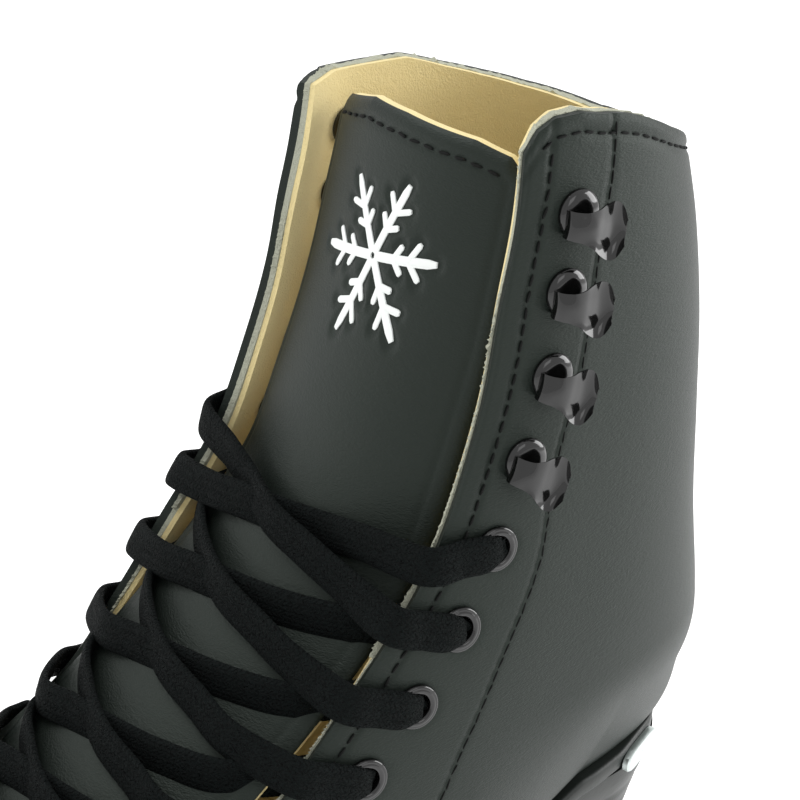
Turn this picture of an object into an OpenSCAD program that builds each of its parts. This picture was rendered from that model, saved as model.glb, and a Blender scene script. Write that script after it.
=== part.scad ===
// Figure skate, left foot: lace-up boot with a padded cuff, stacked heel and a two-stanchion blade.
// Frame: millimetres, +X to the toe, +Y to the outer (left) side, +Z up, z = 0 on the ice.

/* [Boot] */
// Thickness of the outer leather
leather_t = 2; // [1.5:0.1:3]
// Thickness of the white foam behind the leather
foam_t = 2.2; // [1:0.1:4]
// Thickness of the tan lining
lining_t = 1.2; // [0.8:0.1:2]
// Thickness of the tongue
tongue_t = 3.6; // [2:0.2:6]
// How far the middle of the tongue sits back from the closed front of the boot
tongue_back = 20; // [14:1:26]
// How much the tongue bows forward from its edges to its middle
tongue_bow = 9; // [4:0.5:12]
// Width of the sewn strip down the heel
backstay_w = 11; // [8:1:16]

/* [Lacing] */
// Outer diameter of an eyelet flange
eyelet_od = 10; // [8:0.5:12]
// Hole through an eyelet
eyelet_id = 5.6; // [4:0.2:7]
// Width of the lace
lace_w = 8; // [5:0.5:10]
// Thickness of the lace
lace_t = 2.2; // [1.2:0.1:3]
// Width of the strap of a lace hook at its bend
hook_w = 8; // [6:0.5:9]

/* [Sole and heel] */
// Thickness of the outsole
outsole_t = 5; // [3:0.5:7]
// Height of the bottom of the heel above the ice
heel_z = 60; // [52:1:66]
// Height of the bottom of the sole at the ball above the ice
ball_z = 56; // [48:1:60]
// Thickness of the rubber heel lift
lift_t = 5; // [3:0.5:8]

/* [Blade] */
// Thickness of the runner
runner_t = 4; // [3.5:0.1:4.5]
// Rear tip of the runner
runner_back = 6; // [0:1:20]
// Front of the runner at the picks
runner_front = 281; // [260:1:290]
// Radius of the rocker
rocker_r = 2400; // [2000:50:3000]
// Thickness of the mounting plates
plate_t = 3; // [2:0.25:4]
// Diameter of the screw shank
screw_d = 4; // [3:0.25:5]

/* [Hidden] */
$fn = 32;
BLACK = [0.09, 0.09, 0.10];
TAN = [0.78, 0.62, 0.36];
WHITE = [0.92, 0.92, 0.90];
STEEL = [0.78, 0.79, 0.80];

// Each row is one section through the boot: front x and z, back x and z, half width, middle y.
ROWS = [
    [107, 286, 31, 286, 38, 0],
    [110, 268, 26, 268, 39.5, 0],
    [114, 251, 20, 249, 41, 0],
    [119, 232, 15, 226, 42.2, 0],
    [126, 214, 12, 201, 43.6, 0],
    [134, 197, 9, 175, 45, 0],
    [147, 181, 4, 149, 46.8, 0],
    [162, 165, 0, 126, 47.2, 0],
    [180, 149, 4, 101, 46.8, 0],
    [198, 135, 68, 90, 45.5, 0],
    [217, 123, 128, 68, 46, 1],
    [238, 115, 174, 53, 48, 1],
    [258, 110, 212, 50, 49, -1],
    [275, 102, 246, 50, 45, -4],
    [288, 90, 274, 55, 34, -8],
    [293, 74, 291, 64, 3, -11]];
// Angle from the front of each section to the throat edge, the lace holes and the panel seam.
EDGE = [66, 65, 62, 61, 59, 56, 52, 50, 49, 44, 38];
HOLE = [85, 84, 81, 79, 75, 71, 67, 64, 60, 58, 56];
SEAM = [91, 90, 87, 85, 82, 82, 79, 78, 78, 77, 76];
// Section number of each hook and eyelet, top to bottom.
HOOKS = [1.4, 2.25, 3.1, 3.95];
EYES = [4.8, 5.65, 6.5, 7.3, 8, 8.6, 9.2];
// Top of the sole in side view.
SEAT = [[-10, 107], [50, 105], [90, 92], [130, 74], [155, 63], [170, 61], [250, 61], [275, 63], [305, 68]];
// Section number of the top line by angle, on the outer and the inner side.
TOP_OUT = [[60, 0.8], [66, 0.62], [70, 0.42], [76, 0.3], [84, 0.28], [98, 0.45], [115, 0.7], [130, 0.88],
    [150, 1.08], [180, 1.2]];
TOP_IN = [[60, 0.9], [66, 0.8], [75, 0.7], [99, 0.72], [115, 0.88], [131, 1], [148, 1.1], [180, 1.2]];
THROAT = 9.75;
HINGE_V = 4.6;

function mix(a, b, t) = a + (b - a) * t;
function curve(p, t) =
    let (n = len(p), u = max(0, min(n - 1.0001, t)), i = floor(u), f = u - i,
         a = p[max(i - 1, 0)], b = p[i], c = p[min(i + 1, n - 1)], d = p[min(i + 2, n - 1)])
    0.5 * (2 * b + (c - a) * f + (2 * a - 5 * b + 4 * c - d) * f * f
           + (3 * b - a - 3 * c + d) * f * f * f);
function spow(c, e) = c == 0 ? 0 : sign(c) * pow(abs(c), e);
// A point on the boot: v picks the section, th the angle from its front, off the depth inside the leather.
function boot(v, th, off) =
    let (r = curve(ROWS, v), c = cos(th), s = sin(th), e = c >= 0 ? 2 / 2.5 : 2 / 2.7,
         len2 = norm([r[0] - r[2], r[1] - r[3]]) / 2,
         k = max(0.15, (len2 - off) / len2) * spow(c, e) / 2,
         x = (r[0] + r[2]) / 2 + (r[0] - r[2]) * k,
         z = (r[1] + r[3]) / 2 + (r[1] - r[3]) * k,
         y = r[5] + max(1, r[4] - off) * spow(s, e))
    [x, y * tuck(x, max(z, lookup(x, SEAT) + off)), max(z, lookup(x, SEAT) + off)];
// Share of the width left where the upper tucks in towards the heel.
function tuck(x, z) =
    let (t = max(0, min(1, (150 - z) / 45)), g = max(0, min(1, (100 - x) / 50)))
    1 - 0.24 * t * t * (3 - 2 * t) * g;
function unit(a) = a / norm(a);

// A closed solid between an outer grid and an inner grid of points of the same size.
module shell_of(outer, inner) {
    m = len(outer);
    n = len(outer[0]);
    k = m * n;
    pts = concat([for (r = outer) each r], [for (r = inner) each r]);
    top = [for (i = [0 : m - 2], j = [0 : n - 2])
        let (a = i * n + j, b = a + n)
            each [[a, b + 1, b], [a, a + 1, b + 1]]];
    under = [for (f = top) [f[0] + k, f[2] + k, f[1] + k]];
    rim = concat(
        [for (j = [0 : n - 2]) [j, j + 1]],
        [for (i = [0 : m - 2]) [i * n + n - 1, (i + 1) * n + n - 1]],
        [for (j = [n - 2 : -1 : 0]) [(m - 1) * n + j + 1, (m - 1) * n + j]],
        [for (i = [m - 2 : -1 : 0]) [(i + 1) * n, i * n]]);
    walls = [for (e = rim) each [[e[0], e[0] + k, e[1] + k], [e[0], e[1] + k, e[1]]]];
    polyhedron(points = pts, faces = concat(top, under, walls));
}
// Rows shared by every layer of the upper; rows above section 4 close up to the top line.
ROW_W = concat([for (i = [0 : 15]) i / 2], [7.75, 8, 8.25, 8.5, 8.75, 9, THROAT]);
function row_v(w, th, side) =
    let (top = lookup(th, side > 0 ? TOP_OUT : TOP_IN)) w < 4 ? mix(top, 4, w / 4) : w;
// Columns shared by every layer: three from the throat edge to the seam, eight from the seam to the back.
function col_th(w, j) =
    j < 3 ? mix(curve(EDGE, w), curve(SEAM, w) - 0.25, j / 3)
    : j == 3 ? curve(SEAM, w) + 0.25
    : mix(curve(SEAM, w), 180, (j - 3) / 8);
function grid(i0, i1, j0, j1, o, side) =
    [for (i = [i0 : i1]) let (w = max(ROW_W[i], 0.3))
        [for (j = [j0 : j1])
            let (th = j == j1 && j1 == 3 ? curve(SEAM, w) - 0.25 : col_th(w, j))
            boot(row_v(ROW_W[i], th, side), th, is_list(o) ? curve(o, w) : o)]];
// A patch of the upper between two rows, two columns and two depths.
module patch(i0, i1, j0, j1, o0, o1, side) {
    mirror([0, side > 0 ? 0 : 1, 0])
        shell_of(grid(i0, i1, j0, j1, o0, side), grid(i0, i1, j0, j1, o1, side));
}
// Stands a child at a lace hole with its own +Z pointing out of the leather and +X down the row.
module at_hole(v, side) {
    th = curve(HOLE, v);
    p = boot(v, th, 0);
    u = unit(boot(v + 0.1, curve(HOLE, v + 0.1), 0) - boot(v - 0.1, curve(HOLE, v - 0.1), 0));
    w0 = unit(boot(v, th + 2, 0) - boot(v, th - 2, 0));
    n = unit(cross(u, w0));
    w = cross(n, u);
    mirror([0, side > 0 ? 0 : 1, 0])
        multmatrix([[u[0], w[0], n[0], p[0]], [u[1], w[1], n[1], p[1]], [u[2], w[2], n[2], p[2]]])
            children();
}
module ring_of(od, id, z0, z1) {
    rotate_extrude()
        polygon([[id / 2, z0], [od / 2, z0], [od / 2, z1], [id / 2, z1]]);
}

// ---- Uppers ----
LINE_O = [for (v = [0 : 15]) leather_t + mix(foam_t, 1.4, min(1, max(0, (v - 5.5) / 2)))];
LINE_I = [for (o = LINE_O) o + lining_t];
module holes(side) {
    for (v = concat(HOOKS, EYES))
        at_hole(v, side) cylinder(d = eyelet_id + 1.3, h = 30, center = true);
}
module facing(side) {
    difference() {
        patch(0, 22, 0, 3, 0, leather_t, side);
        holes(side);
    }
}
module foam(side) {
    difference() {
        union() {
            patch(0, 12, 0, 11, leather_t + 0.02, [for (o = LINE_O) o - 0.02], side);
            patch(11, 21, 0, 5, leather_t + 0.02, [for (o = LINE_O) o - 0.02], side);
        }
        holes(side);
    }
}
module lining(side) {
    difference() {
        patch(0, 21, 0, 11, LINE_O, LINE_I, side);
        holes(side);
    }
}
module facing_left() color(BLACK) facing(1);
module facing_right() color(BLACK) facing(-1);
module quarter(side) {
    difference() {
        patch(0, 21, 3, 11, 0, leather_t, side);
        under_seat();
    }
}
module quarter_left() color(BLACK) quarter(1);
module quarter_right() color(BLACK) quarter(-1);
module foam_left() color(WHITE) foam(1);
module foam_right() color(WHITE) foam(-1);
module lining_left() color(TAN) lining(1);
module lining_right() color(TAN) lining(-1);
// Strip of leather sewn over the join of the two quarters.
module backstay() {
    w = backstay_w / 2;
    color(BLACK)
        difference() {
            shell_of(stay_grid(-1.3), stay_grid(-0.12));
            for (s = [-1, 1])
                translate([-40, s > 0 ? w : -w - 60, 90]) cube([90, 60, 220]);
        }
}
function stay_grid(o) =
    [for (i = [0 : 18]) [for (th = [162 : 6 : 198]) boot(mix(1.24, 7.6, i / 18), th, o)]];
// Stiff cup between the leather and the lining round the heel.
module heel_counter() {
    color(TAN)
        difference() {
            for (s = [-1, 1])
                patch(13, 20, 6, 11, leather_t + 0.04, leather_t + 1.2, s);
            translate([0, 0, leather_t]) under_seat();
        }
}
// Angles of the vamp columns, and the section its back edge starts from at each.
VAMP_TH = [0, 14, 28, 42, 56, 68, 75.5, 77.5, 92, 108, 124, 140, 156, 170, 179.5];
function vamp_v(th) = lookup(abs(th), [[75.5, THROAT + 0.02], [77.5, 9.02]]);
module vamp_layer(o0, o1, i0, i1, th_max) {
    one = [for (th = VAMP_TH) if (th <= th_max) th];
    ths = concat([for (i = [len(one) - 1 : -1 : 1]) -one[i]], one);
    g = [for (o = [o0, o1]) [for (i = [i0 : i1]) [for (th = ths) boot(mix(vamp_v(th), 15, i / 16), th, o)]]];
    shell_of(g[0], g[1]);
}
// Closes the tip of the toe, where the last section is hardly wider than two thicknesses of leather.
module toe_tip() {
    points = [for (end = [[14.8, 0], [15, 0.4]]) for (th = [-180 : 20 : 160])
        boot(end[0], th, 0.3) + [end[1], 0, 0]];
    hull() polyhedron(points, [[for (i = [0 : len(points) - 1]) i]]);
}
module vamp() {
    color(BLACK)
        difference() {
            union() {
                vamp_layer(0, leather_t, 0, 16, 180);
                toe_tip();
            }
            under_seat();
        }
}
module vamp_lining() color(TAN) vamp_layer(leather_t + 0.02, leather_t + lining_t, 0, 10, 180);
module toe_puff() color(TAN) vamp_layer(leather_t + 0.02, leather_t + 1, 11, 15, 76);

// ---- Tongue ----
// Depth of the middle of the tongue behind the closed front of each section, and its half width.
TONGUE_D = [for (d = [0, 0, 0, 0, 0, 0, -1, -4, -8, -12, -14.5, -15]) tongue_back + d];
TONGUE_W = [30, 30, 30.5, 31, 31.5, 32, 33, 33, 33, 32, 31, 30];
TONGUE_TOP = [[-1, 1.15], [-0.85, 0.85], [-0.4, 0.68], [0, 0.68], [0.6, 0.75], [0.85, 0.85], [1, 1.1]];
function tongue_at(v, s, d) =
    let (r = curve(ROWS, v), a = unit([r[2] - r[0], r[3] - r[1]]),
         q = curve(TONGUE_D, v) + tongue_bow * s * s + d)
        [r[0] + a[0] * q, r[5] + s * curve(TONGUE_W, v), r[1] + a[1] * q];
module tongue_part(v0, v1, d0, d1, nv, nt) {
    g = [for (d = [d1, d0]) [for (i = [0 : nv]) [for (j = [0 : nt])
        let (s = 2 * j / nt - 1, start = v0 < 1 ? lookup(s, TONGUE_TOP) : v0)
            tongue_at(mix(start, v1, i / nv), s, d)]]];
    shell_of(g[1], g[0]);
}
skin_t = tongue_t * 0.5;
module tongue_upper() {
    color(BLACK)
        difference() {
            tongue_part(0, HINGE_V - 0.16, 0, skin_t, 10, 10);
            flake();
        }
}
module tongue_upper_lining() color(TAN) tongue_part(0, HINGE_V - 0.16, skin_t + 0.02, tongue_t, 10, 10);
module tongue_lower() color(BLACK) tongue_part(HINGE_V + 0.06, 11, 0, skin_t, 16, 10);
module tongue_lower_lining() color(TAN) tongue_part(HINGE_V + 0.06, 11, skin_t + 0.02, tongue_t, 16, 10);
// Six-armed snowflake let into the outer face of the tongue.
module flake() {
    p = tongue_at(2.3, 0, 1);
    translate(p)
        rotate([0, 79, 0])
            for (a = [0 : 60 : 300])
                rotate([0, 0, a + 4]) {
                    translate([0, -1, 0]) cube([16, 2, 9]);
                    for (m = [-50, 50])
                        translate([10, 0, 0]) rotate([0, 0, m]) translate([0, -0.7, 0]) cube([5, 1.4, 9]);
                }
}
module tongue_emblem() {
    color(WHITE)
        intersection() {
            flake();
            tongue_part(0, HINGE_V - 0.16, 0.3, skin_t, 10, 10);
        }
}

// ---- Sole and heel ----
// Outline of the sole seen from above, outer side then inner side.
SOLE_OUT = [[3, 0], [4, 8], [7, 16], [12, 22], [18, 26.5], [34, 32], [45, 33.5], [60, 34], [75, 33.5],
    [90, 33], [110, 33], [130, 34], [150, 37], [170, 41], [190, 44.5], [210, 46], [230, 45.5], [245, 43],
    [258, 38.5], [268, 33.5], [276, 27.5], [283, 19], [288, 9], [291, 0], [291.5, -8]];
SOLE_IN = [[291, -15], [289, -24], [285, -32], [279, -39], [270, -44], [258, -47], [240, -48], [220, -47.5],
    [200, -45.5], [180, -40], [160, -34.5], [140, -31.5], [125, -31], [110, -32], [90, -33], [75, -33.5],
    [60, -34], [45, -33.5], [34, -32], [18, -26.5], [12, -22], [7, -16], [4, -8]];
module outline(grow, x0, x1) {
    intersection() {
        linear_extrude(200) offset(delta = grow) polygon(concat(SOLE_OUT, SOLE_IN));
        translate([x0, -100, 0]) cube([x1 - x0, 200, 200]);
    }
}
// A side profile extruded right across the boot.
module across(pts, w) {
    translate([0, w / 2, 0])
        rotate([90, 0, 0]) linear_extrude(w) polygon(pts);
}
function seat_line(d, x0, x1) =
    concat([[x0, lookup(x0, SEAT) + d]], [for (s = SEAT) if (s[0] > x0 && s[0] < x1) [s[0], s[1] + d]],
        [[x1, lookup(x1, SEAT) + d]]);
// Everything below the top of the sole.
module under_seat() {
    across(concat(seat_line(0, -10, 305), [[305, 0], [-10, 0]]), 140);
}
function flip(p) = [for (i = [len(p) - 1 : -1 : 0]) p[i]];
module outsole() {
    color(BLACK)
        difference() {
            intersection() {
                across(concat(seat_line(0, 0, 294), flip(seat_line(-outsole_t, 0, 294))), 120);
                outline(0, -5, 300);
            }
            screw_holes(screw_d);
        }
}
module insole_board() {
    color(TAN)
        intersection() {
            across(concat(seat_line(6.4, 12, 276), flip(seat_line(4.9, 12, 276))), 120);
            outline(-9, 12, 276);
        }
}
module insole() {
    color(TAN)
        intersection() {
            across(concat(seat_line(9.4, 14, 272), flip(seat_line(6.45, 14, 272))), 120);
            outline(-10, 14, 272);
        }
}
// The whole heel stack before it is parted into heel and lift.
module heel_form() {
    intersection() {
        across(concat(seat_line(-outsole_t, 3, 72), [[62, heel_z + 12], [60, heel_z], [14, heel_z]]), 120);
        outline(0, -5, 100);
        translate([0, 0, heel_z])
            rotate([90, 0, 90]) linear_extrude(100)
                polygon([[-26, 0], [26, 0], [34.5, 40], [34.5, 60], [-34.5, 60], [-34.5, 40]]);
        translate([40, 0, 55]) cylinder(r1 = 23, r2 = 47, h = 75, $fn = 64);
    }
}
module heel() {
    color(BLACK)
        difference() {
            heel_form();
            translate([-20, -60, 0]) cube([120, 120, heel_z + lift_t]);
            screw_holes(screw_d);
        }
}
module heel_lift() {
    color([0.16, 0.16, 0.17])
        difference() {
            intersection() {
                heel_form();
                translate([-20, -60, heel_z]) cube([120, 120, lift_t]);
            }
            screw_holes(screw_d);
        }
}
// Plain bright plate on the outer side of the heel.
module heel_badge() {
    color(STEEL)
        translate([25.99, 29.32, 101.6]) rotate([0, 0, 19]) rotate([-90, 0, 0])
            linear_extrude(1.5) {
                square([12, 6], center = true);
                for (x = [-6, 6]) translate([x, 0]) circle(d = 6);
            }
}

// ---- Blade ----
HEEL_SCREWS = [[27, 0], [32, 15], [32, -15], [49, 16], [49, -16]];
SOLE_SCREWS = [[164, 24], [164, -22], [190, 27], [190, -26], [218, 27], [218, -27], [242, 22], [242, -26]];
module screw_holes(d) {
    for (p = HEEL_SCREWS)
        translate([p[0], p[1], heel_z - plate_t - 1]) cylinder(d = d, h = plate_t + 17);
    for (p = SOLE_SCREWS)
        translate([p[0], p[1], ball_z - plate_t - 1]) cylinder(d = d, h = plate_t + outsole_t);
}
module screw(p, z, h) {
    translate([p[0], p[1], z]) {
        cylinder(d1 = screw_d * 2, d2 = screw_d, h = 1.6);
        cylinder(d = screw_d, h = h);
    }
}
module heel_screws() color(STEEL) for (p = HEEL_SCREWS) screw(p, heel_z - plate_t, plate_t + 16);
module sole_screws() color(STEEL) for (p = SOLE_SCREWS) screw(p, ball_z - plate_t, plate_t + outsole_t - 1);
module plate_cut(list, z) {
    for (p = list)
        translate([p[0], p[1], z]) {
            cylinder(d1 = screw_d * 2, d2 = screw_d, h = 1.6);
            translate([0, 0, -1]) cylinder(d = screw_d, h = plate_t + 3);
        }
}
module heel_plate() {
    color(STEEL)
        difference() {
            translate([0, 0, heel_z - plate_t]) linear_extrude(plate_t)
                polygon([[20, 6], [22, 13], [27, 18.5], [34, 21.5], [50, 21.5], [56, 18], [58, 12],
                    [58, -12], [56, -18], [50, -21.5], [34, -21.5], [27, -18.5], [22, -13], [20, -6]]);
            plate_cut(HEEL_SCREWS, heel_z - plate_t);
        }
}
module sole_plate() {
    color(STEEL)
        difference() {
            translate([0, 0, ball_z - plate_t]) linear_extrude(plate_t)
                polygon([[152, 12], [158, 26], [172, 32], [196, 34], [226, 34], [244, 29], [252, 14],
                    [252, -20], [244, -32], [226, -35], [196, -33], [172, -29], [158, -23], [152, -10]]);
            plate_cut(SOLE_SCREWS, ball_z - plate_t);
        }
}
BAR_TOP = 15;
PICKS = [[262, 1.2], [266, 7.5], [268, 3], [272, 10], [274, 6], [278, 14], [279, 10.5], [281, 20]];
module runner() {
    color(STEEL)
        difference() {
            across(concat([[runner_back, 6], [runner_back + 3, 0], [262, 0]], PICKS,
                [[runner_front, 24], [262, 26], [246, BAR_TOP + 2], [200, BAR_TOP], [30, BAR_TOP],
                [18, BAR_TOP + 1], [runner_back, 12]]), runner_t);
            difference() {
                translate([-20, -10, -20]) cube([282, 20, 30]);
                translate([150, 20, rocker_r]) rotate([90, 0, 0]) cylinder(r = rocker_r, h = 40, $fn = 720);
            }
        }
}
module front_stanchion() {
    color(STEEL)
        difference() {
            across([[186, BAR_TOP], [246, BAR_TOP + 2], [262, 26], [258, 33], [250, ball_z - plate_t],
                [160, ball_z - plate_t], [172, 44]], runner_t + 2);
            across([[204, 22], [236, 24], [240, 34], [232, 45], [186, 45]], 20);
            across([[190, BAR_TOP - 8], [200, BAR_TOP], [246, BAR_TOP + 2], [262, 26], [262, 0]], 20);
        }
}
module rear_stanchion() {
    color(STEEL)
        difference() {
            across([[34, BAR_TOP], [74, BAR_TOP], [62, 36], [58, heel_z - plate_t], [21, heel_z - plate_t],
                [26, 36]], runner_t + 2);
            across([[42, 24], [58, 24], [50, 44], [39, 46]], 20);
        }
}

// ---- Lacing hardware ----
module eyelet() {
    ring_of(eyelet_od, eyelet_id, 0.1, 1);
    ring_of(eyelet_id + 1, eyelet_id, -LINE_I[0], 1);
}
module eyelet_washer(v) {
    d = curve(LINE_I, v);
    ring_of(eyelet_od - 0.5, eyelet_id + 1.02, -d - 1.2, -d - 0.4);
}
module eyelets(side) {
    for (v = EYES) at_hole(v, side) eyelet();
}
module eyelets_left() color(BLACK) eyelets(1);
module eyelets_right() color(BLACK) eyelets(-1);
module eyelet_washers_left() color(BLACK) for (v = EYES) at_hole(v, 1) eyelet_washer(v);
module eyelet_washers_right() color(BLACK) for (v = EYES) at_hole(v, -1) eyelet_washer(v);
// A base disc with a strap that rises on the throat side, curls back and flares to a wide round lip.
// Each point has the place across the facing, the height and the width as a share of hook_w.
HOOK_PATH = [[-3.6, 0.3, 0.675], [-4.5, 1.4, 0.7], [-4.6, 2.8, 0.75], [-3.7, 4.2, 0.85],
    [-2, 5, 0.975], [0.2, 5.3, 1.1], [2.4, 5, 1.2], [4.4, 4.9, 1.075], [6, 5.8, 0.625]];
module hook() {
    translate([0, 0, 0.1]) cylinder(d = 9.4, h = 1.1);
    for (i = [0 : len(HOOK_PATH) - 2])
        hull()
            for (q = [HOOK_PATH[i], HOOK_PATH[i + 1]])
                translate([0, q[0], q[1] + 0.2]) rotate([0, 90, 0])
                    cylinder(d = 1.3, h = q[2] * hook_w, center = true, $fn = 10);
}
module hook_rivet(v) {
    d = curve(LINE_I, v);
    ring_of(eyelet_id + 1, eyelet_id - 1.6, -d - 1.2, 0.08);
    ring_of(eyelet_od - 0.5, eyelet_id - 1.6, -d - 1.2, -d - 0.4);
}
module hooks_left() color(BLACK) for (v = HOOKS) at_hole(v, 1) hook();
module hooks_right() color(BLACK) for (v = HOOKS) at_hole(v, -1) hook();
module hook_rivets_left() color(BLACK) for (v = HOOKS) at_hole(v, 1) hook_rivet(v);
module hook_rivets_right() color(BLACK) for (v = HOOKS) at_hole(v, -1) hook_rivet(v);

// ---- Lace ----
// Flat lace laid along points; each entry is [point, direction the flat face looks, width].
module ribbon(path, t) {
    n = len(path);
    for (i = [0 : n - 2])
        hull() {
            ribbon_block(path, i, t);
            ribbon_block(path, i + 1, t);
        }
}
module ribbon_block(path, i, t) {
    n = len(path);
    p = path[i][0];
    d = unit(path[min(i + 1, n - 1)][0] - path[max(i - 1, 0)][0]);
    s = unit(cross(path[i][1], d));
    u = cross(d, s);
    multmatrix([[d[0], s[0], u[0], p[0]], [d[1], s[1], u[1], p[1]], [d[2], s[2], u[2], p[2]]])
        cube([0.8, path[i][2], t], center = true);
}
// Entries beside the leather and over the tongue; s is 1 on the outer side and -1 on the inner side.
function flipy(p, s) = [p[0], s * p[1], p[2]];
function face_of(v, th) =
    unit(cross(boot(v + 0.1, th, 0) - boot(v - 0.1, th, 0), boot(v, th + 2, 0) - boot(v, th - 2, 0)));
function by_skin(v, th, o, s) = [flipy(boot(v, th, o), s), flipy(face_of(v, th), s), lace_w];
function in_hole(v, s) =
    let (th = curve(HOLE, v),
         u = unit(boot(v + 0.1, curve(HOLE, v + 0.1), 0) - boot(v - 0.1, curve(HOLE, v - 0.1), 0)))
        [flipy(boot(v, th, 2), s), flipy(u, s), 4.4];
function on_tongue(v, s, d) =
    [tongue_at(v, s, d), unit(tongue_at(v, 0, -10) - tongue_at(v, 0, 0) + [0, s * 6, 0]), lace_w];
// From the lace hole on side s at section v0, under the edge, across, and over the other edge to v1.
function cross_over(v0, v1, s, lift) =
    let (e0 = curve(EDGE, v0), h0 = curve(HOLE, v0), e1 = curve(EDGE, v1), h1 = curve(HOLE, v1),
         d0 = curve(LINE_I, v0) + 1.5)
        [in_hole(v0, s),
            by_skin(v0 + 0.04, mix(h0, e0, 0.3), d0, s),
            by_skin(v0 + 0.1, mix(h0, e0, 0.9), d0, s),
            on_tongue(mix(v0, v1, 0.25), s * 0.82, -1.4),
            on_tongue(mix(v0, v1, 0.38), s * 0.42, -1.7 - lift / 2),
            on_tongue(mix(v0, v1, 0.5), 0, -1.7 - lift),
            on_tongue(mix(v0, v1, 0.62), -s * 0.4, -3 - lift * 0.6),
            on_tongue(mix(v0, v1, 0.76), -s * 0.75, -5.6), by_skin(mix(v0, v1, 0.88), e1 - 1, -1.6, -s),
            by_skin(v1 - 0.04, mix(e1, h1, 0.5), -1.5, -s), by_skin(v1 - 0.01, mix(e1, h1, 0.85), -1.3, -s)];
// The top crossing starts outside, with the end of the lace pushed down inside the boot.
function first_cross(v0, v1, s, lift) =
    let (e0 = curve(EDGE, v0), h0 = curve(HOLE, v0), rest = cross_over(v0, v1, s, lift))
        concat([for (q = [[7.6, 98, 11], [7, 96, 10], [6.4, 92, 9.4], [5.8, 87, 8.8], [5.2, 80, 8.2]])
                    by_skin(q[0], q[1], q[2], s)],
            [in_hole(v0, s),
                by_skin(v0 + 0.01, mix(h0, e0, 0.15), -1.3, s),
                by_skin(v0 + 0.04, mix(h0, e0, 0.5), -1.5, s),
                by_skin(v0 + 0.12, e0 - 1, -1.6, s), on_tongue(mix(v0, v1, 0.24), s * 0.75, -5.6)],
            [for (i = [4 : len(rest) - 1]) rest[i]]);
function strand(s, lifts) =
    concat(first_cross(EYES[0], EYES[1], s, lifts[0]),
        [for (k = [1 : 5]) each cross_over(EYES[k], EYES[k + 1], k % 2 == 1 ? -s : s, lifts[k])],
        [in_hole(EYES[6], s)]);
// The straight bar under the two lowest holes, from the hole on side s to the throat edge.
function bar_end(v, s) =
    let (d = curve(LINE_I, v) + 1.5, h = curve(HOLE, v), e = curve(EDGE, v))
        [in_hole(v, s), by_skin(v + 0.05, mix(h, e, 0.3), d, s), by_skin(v + 0.1, mix(h, e, 0.9), d, s)];
module lace() {
    v = EYES[6];
    color(BLACK) {
        ribbon(strand(1, [0, 2.6, 0, 2.6, 0, 2.6]), lace_t);
        ribbon(strand(-1, [2.6, 0, 2.6, 0, 2.6, 0]), lace_t);
        ribbon(concat(bar_end(v, 1), [for (s = [0.7, 0.3, 0, -0.3, -0.7]) on_tongue(v + 0.14, s, -1.5)],
            flip(bar_end(v, -1))), lace_t);
    }
}
module aglet(s) {
    a = by_skin(7.6, 98, 11, s)[0];
    b = by_skin(7, 96, 10, s)[0];
    d = unit(a - b);
    translate(a)
        rotate([0, acos(d[2]), atan2(d[1], d[0])])
            cylinder(d = 3, h = 17);
}
module aglets() {
    color(BLACK) {
        aglet(1);
        aglet(-1);
    }
}

facing_left();
facing_right();
quarter_left();
quarter_right();
foam_left();
foam_right();
lining_left();
lining_right();
backstay();
heel_counter();
vamp();
vamp_lining();
toe_puff();
tongue_upper();
tongue_upper_lining();
tongue_lower();
tongue_lower_lining();
tongue_emblem();
outsole();
insole_board();
insole();
heel();
heel_lift();
heel_badge();
heel_plate();
sole_plate();
heel_screws();
sole_screws();
runner();
front_stanchion();
rear_stanchion();
eyelets_left();
eyelets_right();
eyelet_washers_left();
eyelet_washers_right();
hooks_left();
hooks_right();
hook_rivets_left();
hook_rivets_right();
lace();
aglets();
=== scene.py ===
import math

import bpy
import numpy as np
from mathutils import Matrix, Vector


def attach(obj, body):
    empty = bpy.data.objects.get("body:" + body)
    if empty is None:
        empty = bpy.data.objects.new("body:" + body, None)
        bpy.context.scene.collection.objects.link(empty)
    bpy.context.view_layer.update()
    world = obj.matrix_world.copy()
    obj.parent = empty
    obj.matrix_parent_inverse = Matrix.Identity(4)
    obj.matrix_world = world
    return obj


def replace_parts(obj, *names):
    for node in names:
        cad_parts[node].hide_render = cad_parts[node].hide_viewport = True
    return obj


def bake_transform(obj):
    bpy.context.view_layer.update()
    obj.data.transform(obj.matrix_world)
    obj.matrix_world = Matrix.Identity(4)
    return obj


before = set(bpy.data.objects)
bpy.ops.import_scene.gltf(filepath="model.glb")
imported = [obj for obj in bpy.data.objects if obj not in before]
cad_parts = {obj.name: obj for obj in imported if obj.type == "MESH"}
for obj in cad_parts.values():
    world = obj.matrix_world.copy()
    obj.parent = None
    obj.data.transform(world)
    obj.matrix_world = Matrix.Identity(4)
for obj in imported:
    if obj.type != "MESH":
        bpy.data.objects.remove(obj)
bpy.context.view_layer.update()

# ---- Camera and studio ----
# A long lens looks down at the outer side of the lacing; a pale floor, a bright
# surround and four broad soft lights give a plain catalogue background.
scene = bpy.context.scene
cam_az, cam_el, cam_roll = math.radians(49.5), math.radians(26.95), math.radians(2.28)
target = Vector((0.0475, -0.0451, 0.178))
back = Vector((
    math.cos(cam_az) * math.cos(cam_el), math.sin(cam_az) * math.cos(cam_el), math.sin(cam_el)))
flat_right = Vector((-math.sin(cam_az), math.cos(cam_az), 0.0))
flat_up = back.cross(flat_right)
right = flat_right * math.cos(cam_roll) + flat_up * math.sin(cam_roll)
upward = flat_up * math.cos(cam_roll) - flat_right * math.sin(cam_roll)
camera = bpy.data.objects.new("camera", bpy.data.cameras.new("camera"))
scene.collection.objects.link(camera)
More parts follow.
